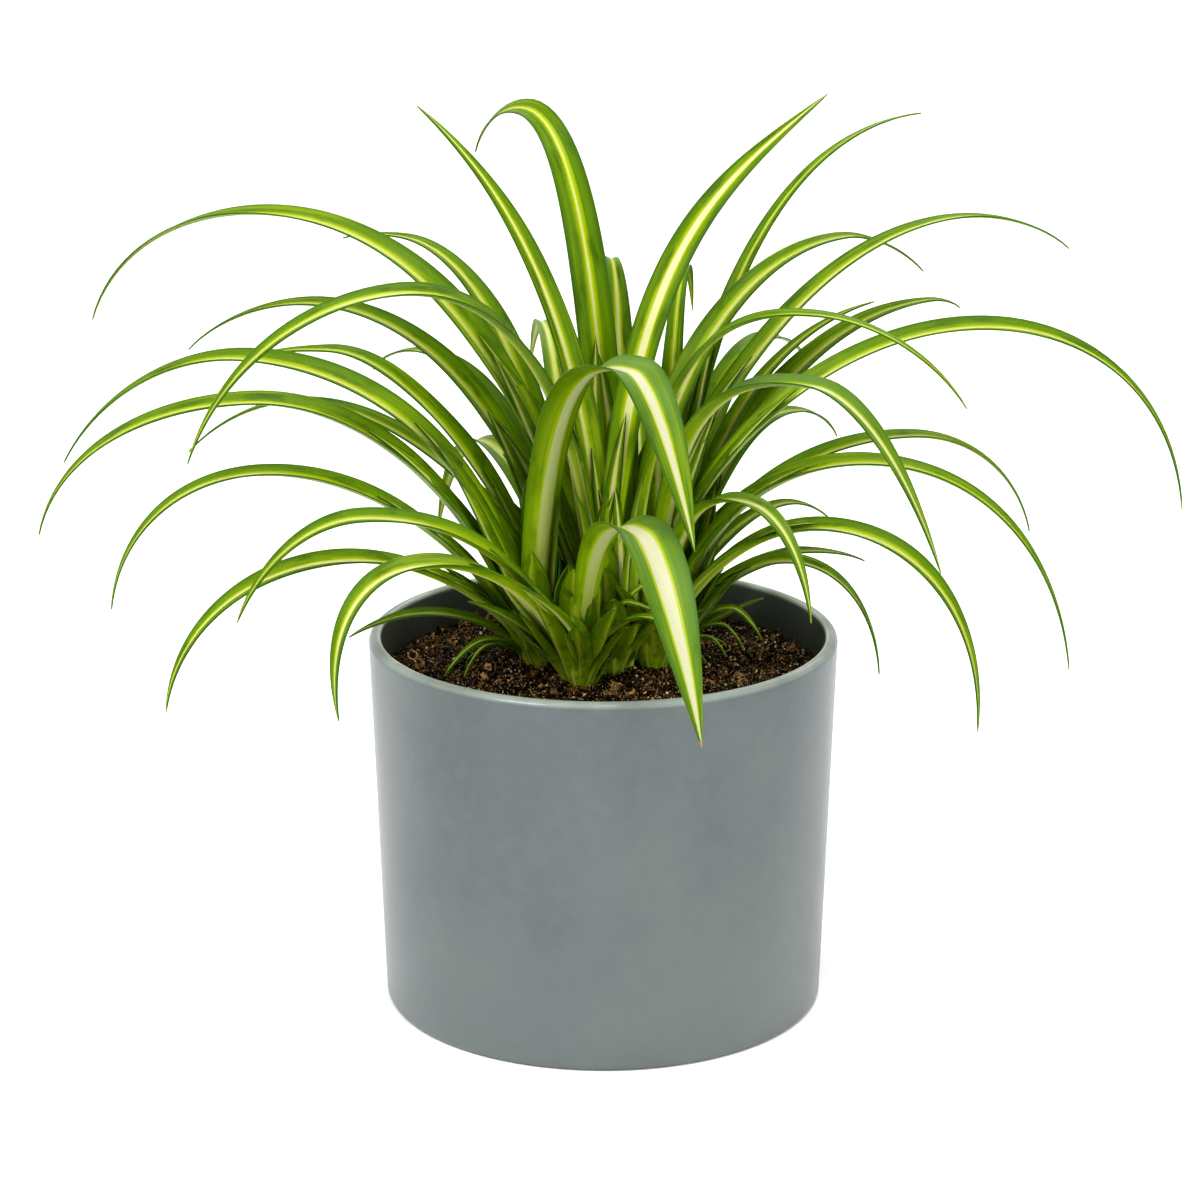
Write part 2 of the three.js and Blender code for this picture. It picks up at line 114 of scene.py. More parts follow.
# The shorter leaves beside a long one: drift to its side, and share of its length.
COMPANIONS = ((-7.5, 0.3), (-3.5, 0.4), (4, 0.38), (8, 0.32))
BACK_COMPANIONS = ((-2.5, 0.4), (2.5, 0.46))
INNER_COMPANIONS = ((-5, 0.28), (-1, 0.34), (5, 0.3))
COMPANION_WIDTH_SHARE = 0.62

# Shoots: where each stem stands, from the pot's axis.
SHOOTS = {
    "shoot_front": (-6, -17),
    "shoot_left": (-16, -3),
    "shoot_right": (13, -3),
    "shoot_inner": (2, -7),
    "shoot_centre": (4, 8),
    "shoot_back_left": (-8, 20),
    "shoot_back_right": (15, 19),
}


def leaf(side, tip, crest=None, rise=88, fall=60, bend=EARLY_BEND, width=10, root=2,
         base=BLADE_ROOT_HEIGHT, sweep=0, roll=None, neck=ROOT_WIDTH_SHARE, widest=WIDEST_AT,
         taper=TAPER_POWER, stripe=0.2, cream=0.45, pale=0.8, brown=0.0, painted_sheen=0.08):
    """One leaf, whose midrib runs in an upright plane through its shoot.

    side: degrees from +X that it points. sweep: how far its tip has turned from that side.
    crest, tip: (reach, height) of its highest point, if it arches over, and of its end.
    rise, fall: slope up at the root and down at the tip. bend: how far the root's slope carries.
    root, base: reach and height of its root. roll: turn about its midrib, or None for the usual.
    width: at its widest. neck: the root's share of that. widest: where, as a share of its
    length. taper: how late it narrows. stripe: half-width of its pale stripe as a share.
    cream: how white that is. pale: how pale its foot is. brown: 1 where its end is dry.
    painted_sheen: how strong a painted sheen it has where it faces up, which stands in for the
    reflection of the bright studio; it also greys its stripe. share, above and drift, for a leaf
    that lies along another: share of the midrib that it follows, how far above it, and how far to
    its side."""
    return dict(side=side, tip=tip, crest=crest, rise=rise, fall=fall, bend=bend, width=width,
                root=root, base=base, sweep=sweep, roll=roll, neck=neck, widest=widest,
                taper=taper, stripe=stripe, cream=cream, pale=pale, brown=brown, painted_sheen=painted_sheen,
                share=1.0, above=0.0, drift=None)


LEAVES = {
    "shoot_left": {
        "left_06": leaf(170, (125, 137), (77, 167), 80, 62, 0.66, 11.5, 1, stripe=0.13, cream=0.6),
        "left_07": leaf(186, (125.6, 127.4), (72, 160.6), 79, 77, 0.5, 11, 3, stripe=0.13,
                        cream=0.55),
        "left_09": leaf(194, (109, 112), (72, 145), 70, 83, 0.5, 9.5, stripe=0.15, cream=0.6),
        "left_11": leaf(204, (100, 90), (56, 124), 66, 83, 0.5, 9, stripe=0.17, cream=0.65,
                        brown=1),
        "front_01": leaf(300, (75, 138), (45, 176), 89, 66, 0.8, 13.2, -2.4, neck=0.85,
                         widest=0.68, stripe=0.23, cream=1, pale=1, painted_sheen=1),
    },
    "shoot_front": {
        "left_10": leaf(196, (87, 112), (56, 136.8), 82, 69, 0.5, 9.5, stripe=0.16, cream=0.55,
                        brown=1),
        "left_12": leaf(222, (77, 96), (56, 130.6), 70, 102, 0.6, 11, stripe=0.2, cream=0.8),
        "front_02": leaf(290, (84, 99), (44, 140.6), 88, 62, 0.7, 14.5, neck=0.42, widest=0.6,
                         stripe=0.32, cream=1, pale=1, brown=1, painted_sheen=1),
    },
    "shoot_right": {
        "right_08": leaf(322, (86, 129), (48, 170), 89, 68, 0.85, 11, 0, stripe=0.18, cream=0.8,
                         painted_sheen=0.7),
        "right_10": leaf(352, (105.4, 92.4), (54, 145), 86, 84, 0.55, 9, 3, stripe=0.15,
                         cream=0.6, brown=1),
        "right_11": leaf(338, (86.2, 82), (47, 131), 78, 92, 0.5, 9.5, stripe=0.16, cream=0.55,
                         brown=1),
        "right_12": leaf(8, (59, 84), (32, 116), 62, 86, 0.5, 7, stripe=0.18, cream=0.7),
        "right_14": leaf(306, (63, 116), (39, 141), 88, 80, 0.75, 8, 3, stripe=0.18, cream=0.8,
                         painted_sheen=0.6),
    },
    "shoot_inner": {
        "top_03": leaf(44, (78, 228), None, 89, -24, 1.03, 8.6, -1.8, roll=30, neck=0.8,
                       widest=0.5, stripe=0.26, cream=0.95),
        "top_01": leaf(145, (60, 228), None, 89, -31, 0.79, 9.4, 0.6, stripe=0.15, cream=0.8),
        "right_05": leaf(338, (92, 166), (53, 186), 89, 56, 0.84, 7.5, 5, stripe=0.14, cream=0.4),
    },
    "shoot_centre": {
        "left_01": leaf(156, (155, 163), (97, 197), 76, 70, 0.72, 12, 4, stripe=0.12, cream=0.5),
        "left_03": leaf(203, (114, 151), (59, 189), 88, 70, 0.69, 11, 5, stripe=0.2, cream=0.6),
        "top_02": leaf(125, (66, 210), (42, 225), 88, 66, 0.73, 10.6, 3, roll=-34, taper=2.6,
                       stripe=0.09, cream=0.75),
        "top_04": leaf(84, (46, 176), (34, 186), 88, 50, 0.7, 10, 6, sweep=12, stripe=0.18,
                       cream=0.6),
        "right_02": leaf(36, (101, 177), (72, 190), 88, 43, 0.62, 10, 3, stripe=0.16, cream=0.5),
        "right_03": leaf(21, (127, 186), (96, 196.8), 77, 42, 0.54, 9.5, 1, stripe=0.15,
                         cream=0.6),
        "right_07": leaf(2, (145, 126), (92, 175), 79, 84, 0.53, 10, 4, stripe=0.12, cream=0.6,
                         brown=1),
    },
    "shoot_back_left": {
        "left_02": leaf(142, (78, 186), (57, 189), 88, 20, 0.52, 10, stripe=0.16, cream=0.45),
        "left_04": leaf(158, (111, 157), (71, 173), 84, 46, 0.56, 10, stripe=0.13, cream=0.5),
        "left_05": leaf(173, (84, 162), (63, 165), 70, 30, 0.55, 11, stripe=0.15, cream=0.45),
        "left_08": leaf(166, (105, 133), (72, 149), 71, 48, 0.5, 8, stripe=0.14, cream=0.3),
        "back_01": leaf(132, (82, 147), (58, 156), 82, 50, width=9),
        "back_02": leaf(116, (88, 96), (54, 130), 68, 76, width=9),
        "back_03": leaf(97, (104, 138), (70, 158), 76, 60, width=7, root=3),
        "back_04": leaf(88, (92, 98), (58, 134), 70, 76, width=9),
    },
    "shoot_back_right": {
        "top_05": leaf(74, (31, 170), (24, 184), 88, 79, 0.7, 7, stripe=0.12, cream=0.3),
        "right_01": leaf(48, (107, 214.5), None, 88, 3, 0.68, 6, 3, widest=0.25, stripe=0.08,
                         cream=0.3),
        "right_04": leaf(31, (66, 172), None, 86, -6, 0.66, 6, 4, stripe=0.14, cream=0.3),
        "right_06": leaf(24, (87, 170), (78, 173), 83, 40, 0.5, 11, 3, stripe=0.16, cream=0.5),
        "right_09": leaf(5, (97, 116), (65, 143), 82, 78, 0.5, 8.5, stripe=0.16, cream=0.45),
        "right_15": leaf(15, (56, 106.4), (38, 110.4), 52, 30, 0.5, 5.5),
        "back_05": leaf(98, (106, 112), (66, 152), 78, 74),
        "back_06": leaf(82, (94, 98), (60, 136), 70, 78, width=9),
        "back_07": leaf(64, (96, 144), (62, 157), 80, 40),
        "back_08": leaf(46, (70, 131), (48, 142), 74, 60, width=8),
        "back_09": leaf(34, (56, 112.4), (40, 120), 66, 50, width=6),
    },
}

# Blunt leaves that stand up in a shoot, and thin sprouts at its foot.
UPRIGHT = dict(width=8, widest=0.6, taper=4)
SPROUT = dict(stripe=0.5, cream=0.2, pale=0)

# Young and basal leaves of each shoot.
YOUNG_LEAVES = {
    "shoot_left": [
        leaf(196, (50, 101), (32, 106), 56, 30, width=5.5),
        leaf(215, (29, 92), (17, 99), 50, 48, width=3.2),
        leaf(100, (8, 140), None, 88, -70, **UPRIGHT),
        leaf(188, (24, 116), None, 64, -30, width=6, taper=3),
        leaf(20, (5, 134), None, 89, -75, width=7, widest=0.6, taper=4),
        leaf(214, (28, 92), (19, 98), 46, 54, width=1.5, **SPROUT),
        leaf(220, (25, 91), (17, 98), 52, 60, width=1.3, **SPROUT),
        leaf(208, (21, 94), (15, 97), 48, 30, width=1.2, **SPROUT),
    ],
    "shoot_front": [
        leaf(318, (36, 104), (24, 111), 74, 50, width=4),
        leaf(110, (4, 116), None, 89, -80, **UPRIGHT),
        leaf(350, (21, 108), (12, 111), 72, 26, width=3.6),
        leaf(262, (6, 106), None, 80, -84, width=8, taper=3, pale=2.5),
        leaf(196, (17, 106), None, 56, -46, width=7, taper=3, pale=1.6),
        leaf(190, (28, 112), None, 66, -20, width=7.5, stripe=0.2, cream=0.3),
        leaf(8, (27, 112), (20, 115), 74, 20, width=3.2, stripe=0.2, cream=0.2),
    ],
    "shoot_right": [
        leaf(347, (28, 98), (20, 106), 62, 62, width=4),
        leaf(8, (28, 106), None, 50, -18, width=4.5),
        leaf(84, (8, 146), None, 89, -74, **UPRIGHT),
        leaf(18, (34, 117), None, 62, -12, width=6),
        leaf(341, (24, 96), (18, 102), 58, 60, width=1.7, **SPROUT),
        leaf(336, (20, 94), (15, 99), 56, 64, width=1.5, **SPROUT),
        leaf(345, (19, 96), (14, 98), 56, 50, width=1.3, **SPROUT),
        leaf(331, (15, 92), (11, 95), 60, 66, width=1.3, **SPROUT),
    ],
    "shoot_inner": [
        leaf(250, (4, 124), None, 89, -80, **UPRIGHT),
        leaf(200, (9, 136), None, 86, -66, **UPRIGHT),
    ],
    "shoot_centre": [
        leaf(270, (5, 158), None, 89, -80, **UPRIGHT),
        leaf(340, (10, 134), None, 86, -66, **UPRIGHT),
    ],
    "shoot_back_left": [
        leaf(50, (8, 150), None, 88, -74, **UPRIGHT),
        leaf(200, (13, 132), None, 84, -60, **UPRIGHT),
    ],
    "shoot_back_right": [
        leaf(180, (7, 133), None, 88, -74, **UPRIGHT),
        leaf(330, (9, 128), None, 84, -60, **UPRIGHT),
    ],
}

# ---- Lamps, in metres and watts, and camera ----
# Name, place, size and power of each lamp.
LAMPS = (
    ("key_lamp", (-0.8, -0.7, 1.3), 0.5, 12),
    ("fill_lamp", (0.7, -1.3, 0.7), 0.8, 5),
    ("back_lamp", (0.3, 1.3, 1.2), 0.9, 5),
    ("top_lamp", (0.12, -0.35, 1.25), 0.18, 4.5),
)
LAMP_AIM = (0, 0, 0.12)
SKY_STRENGTH = 0.95
CAMERA_PLACE = (-0.00085, -0.906, 0.3787)
CAMERA_TILT = 73.225
CAMERA_LENS = 111.27
CAMERA_SENSOR = 36


# ---- Working in Blender ----

def deselect_all():
    if bpy.context.object and bpy.context.object.mode != "OBJECT":
        bpy.ops.object.mode_set(mode="OBJECT")
    bpy.ops.object.select_all(action="DESELECT")


def make_active(piece):
    deselect_all()
    piece.select_set(True)
    bpy.context.view_layer.objects.active = piece


def edit_where(piece, kind, test):
    """Opens the piece in edit mode with the vertices, edges or faces selected that pass the test.
    A face is tested by its middle and its normal, an edge by both its ends."""
    make_active(piece)
    bpy.ops.object.mode_set(mode="EDIT")
    bpy.ops.mesh.select_mode(type=kind)
    bpy.ops.mesh.select_all(action="DESELECT")
    shape = bmesh.from_edit_mesh(piece.data)
    if kind == "VERT":
        for vertex in shape.verts:
            vertex.select_set(test(vertex.co))
    elif kind == "EDGE":
        for edge in shape.edges:
            edge.select_set(all(test(vertex.co) for vertex in edge.verts))
    else:
        for face in shape.faces:
            face.select_set(test(face.calc_center_median(), face.normal))
    shape.select_flush_mode()
    bmesh.update_edit_mesh(piece.data)


def leave_edit():
    bpy.ops.object.mode_set(mode="OBJECT")


def resize_level(factor, centre):
    """Resizes what is selected along X and Y about a point in millimetres."""
    bpy.ops.transform.resize(value=(factor, factor, 1),
                             center_override=[length * MM for length in centre])


def extrude_up(extrude, height):
    """Extrudes what is selected straight up, or down where the height is negative."""
    extrude(TRANSFORM_OT_translate={"value": (0, 0, height * MM)})


def apply_place(piece):
    make_active(piece)
    bpy.ops.object.transform_apply(location=True, rotation=True, scale=True)


def add_modifier(piece, kind, **settings):
    """Adds one modifier, sets it and applies it."""
    make_active(piece)
    modifier = piece.modifiers.new(kind.lower(), kind)
    for name, value in settings.items():
        setattr(modifier, name, value)
    bpy.ops.object.modifier_apply(modifier=modifier.name)


def shade_smooth(piece, degrees):
    make_active(piece)
    bpy.ops.object.shade_smooth_by_angle(angle=math.radians(degrees))


def copy_of(piece, name):
    twin = piece.copy()
    twin.data = piece.data.copy()
    twin.name = name
    bpy.context.collection.objects.link(twin)
    return twin


def join(pieces, name):
    make_active(pieces[0])
    for piece in pieces:
        piece.select_set(True)
    bpy.ops.object.join()
    joined = bpy.context.object
    joined.name = name
    return joined


def remove(piece):
    bpy.data.objects.remove(piece)


# ---- Materials ----

def srgb(red, green, blue):
    """A colour as it looks, 0 to 255 each, turned to the linear values that a shader takes."""
    def linear(value):
        share = value / 255
        return share / 12.92 if share <= 0.04045 else ((share + 0.055) / 1.055) ** 2.4
    return (linear(red), linear(green), linear(blue), 1.0)


class Finish:
    """A material under construction, with short names for the nodes that it is built from."""

    def __init__(self, name, roughness, **shader_values):
        self.material = bpy.data.materials.new(name)
        self.material.use_nodes = True
        self.tree = self.material.node_tree
        self.shader = self.tree.nodes["Principled BSDF"]
        self.shader.inputs["Roughness"].default_value = roughness
        for socket, value in shader_values.items():
            self.shader.inputs[socket.replace("_", " ")].default_value = value

    def node(self, kind, inputs, **settings):
        made = self.tree.nodes.new(kind)
        for name, value in settings.items():
            setattr(made, name, value)
        for name, value in inputs.items():
            if isinstance(value, bpy.types.NodeSocket):
                self.tree.links.new(value, made.inputs[name])
            else:
                made.inputs[name].default_value = value
        return made

    def math(self, operation, *values):
        return self.node("ShaderNodeMath", dict(enumerate(values)), operation=operation).outputs[0]

    def ramp(self, value, low, high, to_low=0.0, to_high=1.0):
        inputs = {"Value": value, "From Min": low, "From Max": high,
                  "To Min": to_low, "To Max": to_high}
        made = self.node("ShaderNodeMapRange", inputs, interpolation_type="SMOOTHSTEP")
        return made.outputs[0]

    def mix(self, share, first, second):
        inputs = {0: share, 6: first, 7: second}
        return self.node("ShaderNodeMix", inputs, data_type="RGBA").outputs[2]

    def layer(self, under, over, value, low, high, most=1.0):
        """Lays one colour over another, up to a share, as the value goes from low to high."""
        return self.mix(self.ramp(value, low, high, 0.0, most), under, over)

    def vector(self, x, y, z):
        return self.node("ShaderNodeCombineXYZ", {0: x, 1: y, 2: z}).outputs[0]

    def parts_of(self, vector):
        return self.node("ShaderNodeSeparateXYZ", {0: vector}).outputs

    def noise(self, place, scale, detail=3.0, roughness=0.55):
        inputs = {"Vector": place, "Scale": scale, "Detail": detail, "Roughness": roughness}
        return self.node("ShaderNodeTexNoise", inputs).outputs["Fac"]

    def object_place(self):
        return self.node("ShaderNodeTexCoord", {}).outputs["Object"]

    def attribute(self, name):
        return self.node("ShaderNodeAttribute", {}, attribute_name=name).outputs

    def facing_up(self):
        """1 where the surface looks straight up, 0 where it is upright."""
        return self.parts_of(self.node("ShaderNodeNewGeometry", {}).outputs["Normal"])[2]

    def paint(self, socket, value):
        self.tree.links.new(value, self.shader.inputs[socket])

    def bump(self, height, strength, distance):
        inputs = {"Height": height, "Strength": strength, "Distance": distance}
        self.paint("Normal", self.node("ShaderNodeBump", inputs).outputs[0])


class LeafFinish(Finish):
    """Green margins, a pale stripe between two yellow lines, and fine veins along the blade. The
    UV map runs across (U) and along (V) the blade, and attributes hold what differs by leaf."""

    def __init__(self, name):
        super().__init__(name, roughness=0.4, Specular_IOR_Level=0.11, Subsurface_Weight=0.32,
                         Subsurface_Radius=(0.7, 1.0, 0.1), Subsurface_Scale=0.0012)
        uv = self.node("ShaderNodeUVMap", {}).outputs[0]
        self.across, self.along, _ = self.parts_of(uv)
        tone = self.attribute("tone")
        rgb = self.node("ShaderNodeSeparateColor", {0: tone["Color"]}).outputs
        stripe_width, self.cream, self.pale = rgb
        self.brown = tone["Alpha"]
        self.number = self.attribute("leaf_number")["Fac"]
        self.painted_sheen_strength = self.attribute("painted_sheen")["Fac"]
        self.streaks = self.pattern(30.0, 2.2, 3.0)
        self.bands = self.pattern(5.0, 4.0, 2.0)
        self.patches = self.pattern(2.5, 13.0, 3.0)
        self.from_middle = self.math("ABSOLUTE", self.math("MULTIPLY_ADD", self.across, 2.0, -1.0))
        self.edge = self.uneven_edge()
        self.stripe = self.stripe_along(stripe_width)
        self.outside_stripe = self.ramp(self.edge, self.beyond(-0.04), self.beyond(0.04))

    def pattern(self, across_scale, along_scale, detail):
        """Noise drawn out along the blade, different on every leaf."""
        place = self.vector(self.math("MULTIPLY", self.across, across_scale),
                            self.math("MULTIPLY", self.along, along_scale), self.number)
        return self.noise(place, 1.0, detail=detail)

    def uneven_edge(self):
        """0 at the midrib and 1 at the edges, roughened so that no border is a clean line."""
        edge = self.from_middle
        for pattern, strength in ((self.streaks, 0.1), (self.bands, 0.14)):
            edge = self.math("MULTIPLY_ADD", self.math("SUBTRACT", pattern, 0.5), strength, edge)
        return edge

    def stripe_along(self, width):
        """The stripe's half-width: wide at the root, and narrower to the tip on leaves with less
        painted sheen."""
        width = self.math("MULTIPLY", width, self.ramp(self.along, 0.02, 0.5, 2.0, 1.0))
        width = self.math("MINIMUM", width, 0.36)
        narrowing = self.math("MULTIPLY", self.ramp(self.along, 0.5, 0.97, 0.0, 0.35),
                              self.math("MULTIPLY_ADD", self.painted_sheen_strength, -0.8, 1.0))
        return self.math("MULTIPLY", width, self.math("SUBTRACT", 1.0, narrowing))

    def beyond(self, width):
        return self.math("ADD", self.stripe, width)

    def margin_colour(self):
        fade = self.beyond(self.math("MULTIPLY_ADD", self.painted_sheen_strength, -0.12, 0.32))
        colour = self.layer(srgb(146, 164, 0), srgb(88, 117, 0), self.edge,
                            self.beyond(0.04), fade)
        colour = self.layer(colour, srgb(48, 80, 0), self.edge, 0.62, 1.0, 0.75)
        colour = self.layer(colour, srgb(54, 82, 0), self.patches, 0.48, 0.7, 0.8)
        colour = self.layer(colour, srgb(130, 150, 0), self.bands, 0.5, 0.7, 0.6)
        colour = self.layer(colour, srgb(62, 94, 0), self.streaks, 0.42, 0.65, 0.35)
        # Painted sheen: where the blade faces up it is greyed towards sage green, standing in for
        # the reflection of the bright studio.
        painted_sheen = self.math("MULTIPLY", self.ramp(self.facing_up(), 0.2, 0.9, 0.0, 0.5), self.painted_sheen_strength)
        return self.mix(painted_sheen, colour, srgb(88, 118, 54))

    def stripe_colour(self):
        colour = self.mix(self.cream, srgb(150, 162, 48), srgb(196, 194, 148))
        colour = self.layer(colour, srgb(168, 174, 104), self.patches, 0.45, 0.75, 0.4)
        # Painted sheen also greys the stripe of the leaves that have it.
        return self.mix(self.math("MULTIPLY", self.painted_sheen_strength, 0.8), colour, srgb(172, 171, 146))

    def line_share(self):
        """Where the yellow lines run, just outside the stripe. They are faint at the root and on
        leaves with a green stripe."""
        before = self.ramp(self.edge, self.beyond(-0.06), self.stripe)
        past = self.ramp(self.edge, self.beyond(0.03), self.beyond(0.13))
        share = self.math("SUBTRACT", before, past)
        for strength in (self.ramp(self.patches, 0.3, 0.6, 0.45, 0.85),
                         self.ramp(self.along, 0.04, 0.3, 0.15, 1.0),
                         self.ramp(self.cream, 0.1, 0.45, 0.15, 1.0)):
            share = self.math("MULTIPLY", share, strength)
        return share

    def root_colour(self):
        margin = self.layer(srgb(136, 168, 0), srgb(172, 190, 30), self.bands, 0.42, 0.64, 0.7)
        margin = self.layer(margin, srgb(84, 120, 0), self.patches, 0.46, 0.68, 0.75)
        margin = self.layer(margin, srgb(78, 112, 0), self.from_middle, 0.8, 1.0, 0.7)
        stripe = self.layer(srgb(180, 192, 96), srgb(160, 180, 46), self.bands, 0.42, 0.64, 0.5)
        return self.mix(self.outside_stripe, stripe, margin)

    def blade_colour(self):
        colour = self.mix(self.outside_stripe, self.stripe_colour(), self.margin_colour())
        colour = self.mix(self.line_share(), colour, srgb(160, 168, 6))
        dark_rim = self.math("MULTIPLY", self.ramp(self.from_middle, 0.9, 1.0, 0.0, 0.5),
                             self.ramp(self.along, 0.1, 0.3))
        colour = self.mix(dark_rim, colour, srgb(44, 78, 6))
        near_root = self.math("MULTIPLY", self.ramp(self.along, 0.02, 0.56, 1.0, 0.0), self.pale)
        colour = self.mix(near_root, colour, self.root_colour())
        at_foot = self.math("MULTIPLY", self.ramp(self.along, 0.03, 0.2, 0.6, 0.0),
                            self.ramp(self.patches, 0.3, 0.6, 1.0, 0.5))
        foot_colour = self.layer(srgb(104, 138, 8), srgb(156, 178, 88), self.bands, 0.4, 0.62)
        return self.mix(at_foot, colour, foot_colour)


def leaf_finish(name, underside):
    finish = LeafFinish(name)
    colour = finish.blade_colour()
    if underside:
        colour = finish.mix(0.2, colour, srgb(130, 152, 30))
    dry = finish.math("MULTIPLY", finish.ramp(finish.along, 0.986, 0.995), finish.brown)
    finish.paint("Base Color", finish.mix(dry, colour, srgb(140, 112, 80)))
    finish.paint("Roughness", finish.ramp(finish.streaks, 0.3, 0.7, 0.3, 0.44))
    veins = finish.math("SINE", finish.math("MULTIPLY", finish.across, 150.0))
    finish.bump(finish.math("MULTIPLY_ADD", veins, 0.3, finish.streaks), 0.3, 0.00022)
    return finish.material


def ceramic_finish():
    """Satin grey glaze with faint clouds and pinholes, painted paler towards its foot, with a
    painted highlight along the rim's inner edge and painted light on the lip, and darker and olive
    inside towards the soil: painted shade of the recess together with a damp-soil stain."""
    finish = Finish("pot_glaze", roughness=0.42, Specular_IOR_Level=0.2, Coat_Weight=0.35,
                    Coat_Roughness=0.1)
    place = finish.object_place()
    x, y, z = finish.parts_of(place)
    squares = finish.math("MULTIPLY_ADD", x, x, finish.math("MULTIPLY", y, y))
    # The wall leans in, so the radius is measured as if it stood upright below the rim.
    taper = POT_RIM_RADIUS - POT_BASE_RADIUS
    lean = finish.math("MULTIPLY_ADD", z, -taper / POT_HEIGHT, taper * MM)
    radius = finish.math("ADD", lean, finish.math("POWER", squares, 0.5))
    inner_edge = POT_RIM_RADIUS - POT_WALL

    clouds = finish.noise(place, 14.0, detail=5.0, roughness=0.6)
    fine = finish.noise(place, 260.0, detail=3.0)
    colour = finish.layer(srgb(84, 91, 93), srgb(97, 104, 102), clouds, 0.3, 0.7)
    colour = finish.layer(colour, srgb(110, 116, 113), fine, 0.35, 0.7, 0.1)
    # Painted light: the glaze is paler towards the foot.
    colour = finish.layer(colour, srgb(102, 109, 107), z, 45 * MM, 10 * MM, 0.4)

    # Inside, the wall is darker and olive deeper down towards the soil: painted shade of the
    # recess, together with a damp-soil stain.
    inside = finish.ramp(radius, (inner_edge + 0.3) * MM, (inner_edge - 0.3) * MM)
    ragged_height = finish.math("MULTIPLY_ADD", clouds, 3 * MM, z)
    soil_stain_and_painted_shade = finish.math("MULTIPLY", inside, finish.ramp(ragged_height, 100 * MM, 89 * MM, 0.1, 0.85))
    colour = finish.mix(soil_stain_and_painted_shade, colour, srgb(46, 46, 30))

    # Painted light: the top of the lip is paler, as if lit from above.
    painted_light_lip = finish.ramp(z, (POT_HEIGHT - 1.7) * MM, (POT_HEIGHT - 0.5) * MM, 0.0, 0.9)
    painted_light_lip = finish.math("MULTIPLY", painted_light_lip, finish.ramp(fine, 0.3, 0.6, 0.8, 1.0))
    colour = finish.mix(painted_light_lip, colour, srgb(130, 139, 131))
    # Painted highlight: a thin pale line along the rim's inner edge.
    from_edge = finish.math("ABSOLUTE", finish.math("SUBTRACT", radius, (inner_edge + 0.3) * MM))
    painted_edge_highlight = finish.math("MULTIPLY", finish.ramp(from_edge, 0.2 * MM, 0.8 * MM, 0.75, 0.0),
                             finish.ramp(z, (POT_HEIGHT - 1.2) * MM, (POT_HEIGHT - 0.4) * MM))
    colour = finish.mix(painted_edge_highlight, colour, srgb(184, 190, 184))

    finish.paint("Base Color", colour)
    finish.paint("Roughness", finish.ramp(clouds, 0.3, 0.7, 0.4, 0.48))
    grain = finish.noise(place, 900.0, detail=2.0)
    finish.bump(finish.math("MULTIPLY_ADD", clouds, 0.6, grain), 0.08, 0.0002)
    return finish.material


def soil_finish(name, dark, light, grain_scale=420.0):
    """Damp and crumbly, from the dark colour to the light one. Where the piece has it, "crumb_tone"
    says how light each crumb is as a whole."""
    finish = Finish(name, roughness=0.6, Specular_IOR_Level=0.06)
    place = finish.object_place()
    tone = finish.attribute("crumb_tone")["Fac"]
    lumps = finish.noise(place, grain_scale * 0.3, detail=5.0, roughness=0.65)
    grains = finish.noise(place, grain_scale, detail=4.0, roughness=0.7)
    lightness = finish.math("ADD", finish.ramp(lumps, 0.4, 0.75, 0.0, 0.6), tone)
    colour = finish.mix(lightness, dark, light)
    colour = finish.layer(colour, light, grains, 0.58, 0.7, 0.8)
    # Painted glints: tiny pale warm specks stand in for light glinting on the damp soil.
    painted_glints = finish.noise(place, 2200.0, detail=2.0)
    colour = finish.layer(colour, srgb(236, 196, 140), painted_glints, 0.62, 0.67, 0.85)
    finish.paint("Base Color", colour)
    finish.paint("Roughness", finish.ramp(grains, 0.3, 0.7, 0.42, 0.8))
    finish.bump(finish.math("ADD", lumps, grains), 0.9, 0.0012)
    return finish.material


def speck_finish():
    """Pale mineral specks."""
    finish = Finish("pale_specks", roughness=0.6)
    grain = finish.noise(finish.object_place(), 900.0, detail=3.0)
    finish.paint("Base Color", finish.mix(grain, srgb(150, 128, 92), srgb(222, 208, 178)))
    finish.bump(grain, 0.4, 0.0003)
    return finish.material


LEAF_UPPER = leaf_finish("leaf_upper_face", underside=False)
LEAF_UNDER = leaf_finish("leaf_underside", underside=True)


# ---- Leaves ----

def clamp(value, low, high):
    return max(low, min(high, value))


def smoothstep(value, low, high):
    share = clamp((value - low) / (high - low), 0.0, 1.0)
    return share * share * (3 - 2 * share)


def lerp(first, second, share):
    return first + (second - first) * share


def span(start, start_slope, end, end_slope, bend):
    """Points of a midrib's span, (reach, height), whose handles run to where its slopes meet."""
    start = Vector(start)
    end = Vector(end)
    leaving = Vector((math.cos(start_slope), math.sin(start_slope)))
    coming = Vector((math.cos(end_slope), math.sin(end_slope)))
    chord = end - start
    turn = leaving.cross(coming)
    shortest = 0.1 * chord.length
    longest = 1.2 * chord.length
    first = clamp(chord.cross(coming) / turn, shortest, longest)
    second = clamp(leaving.cross(chord) / turn, shortest, longest)
    near = (start + leaving * bend * first).to_3d()
    far = (end - coming * LATE_BEND * second).to_3d()
    return interpolate_bezier(start.to_3d(), near, far, end.to_3d(), SPAN_POINTS)


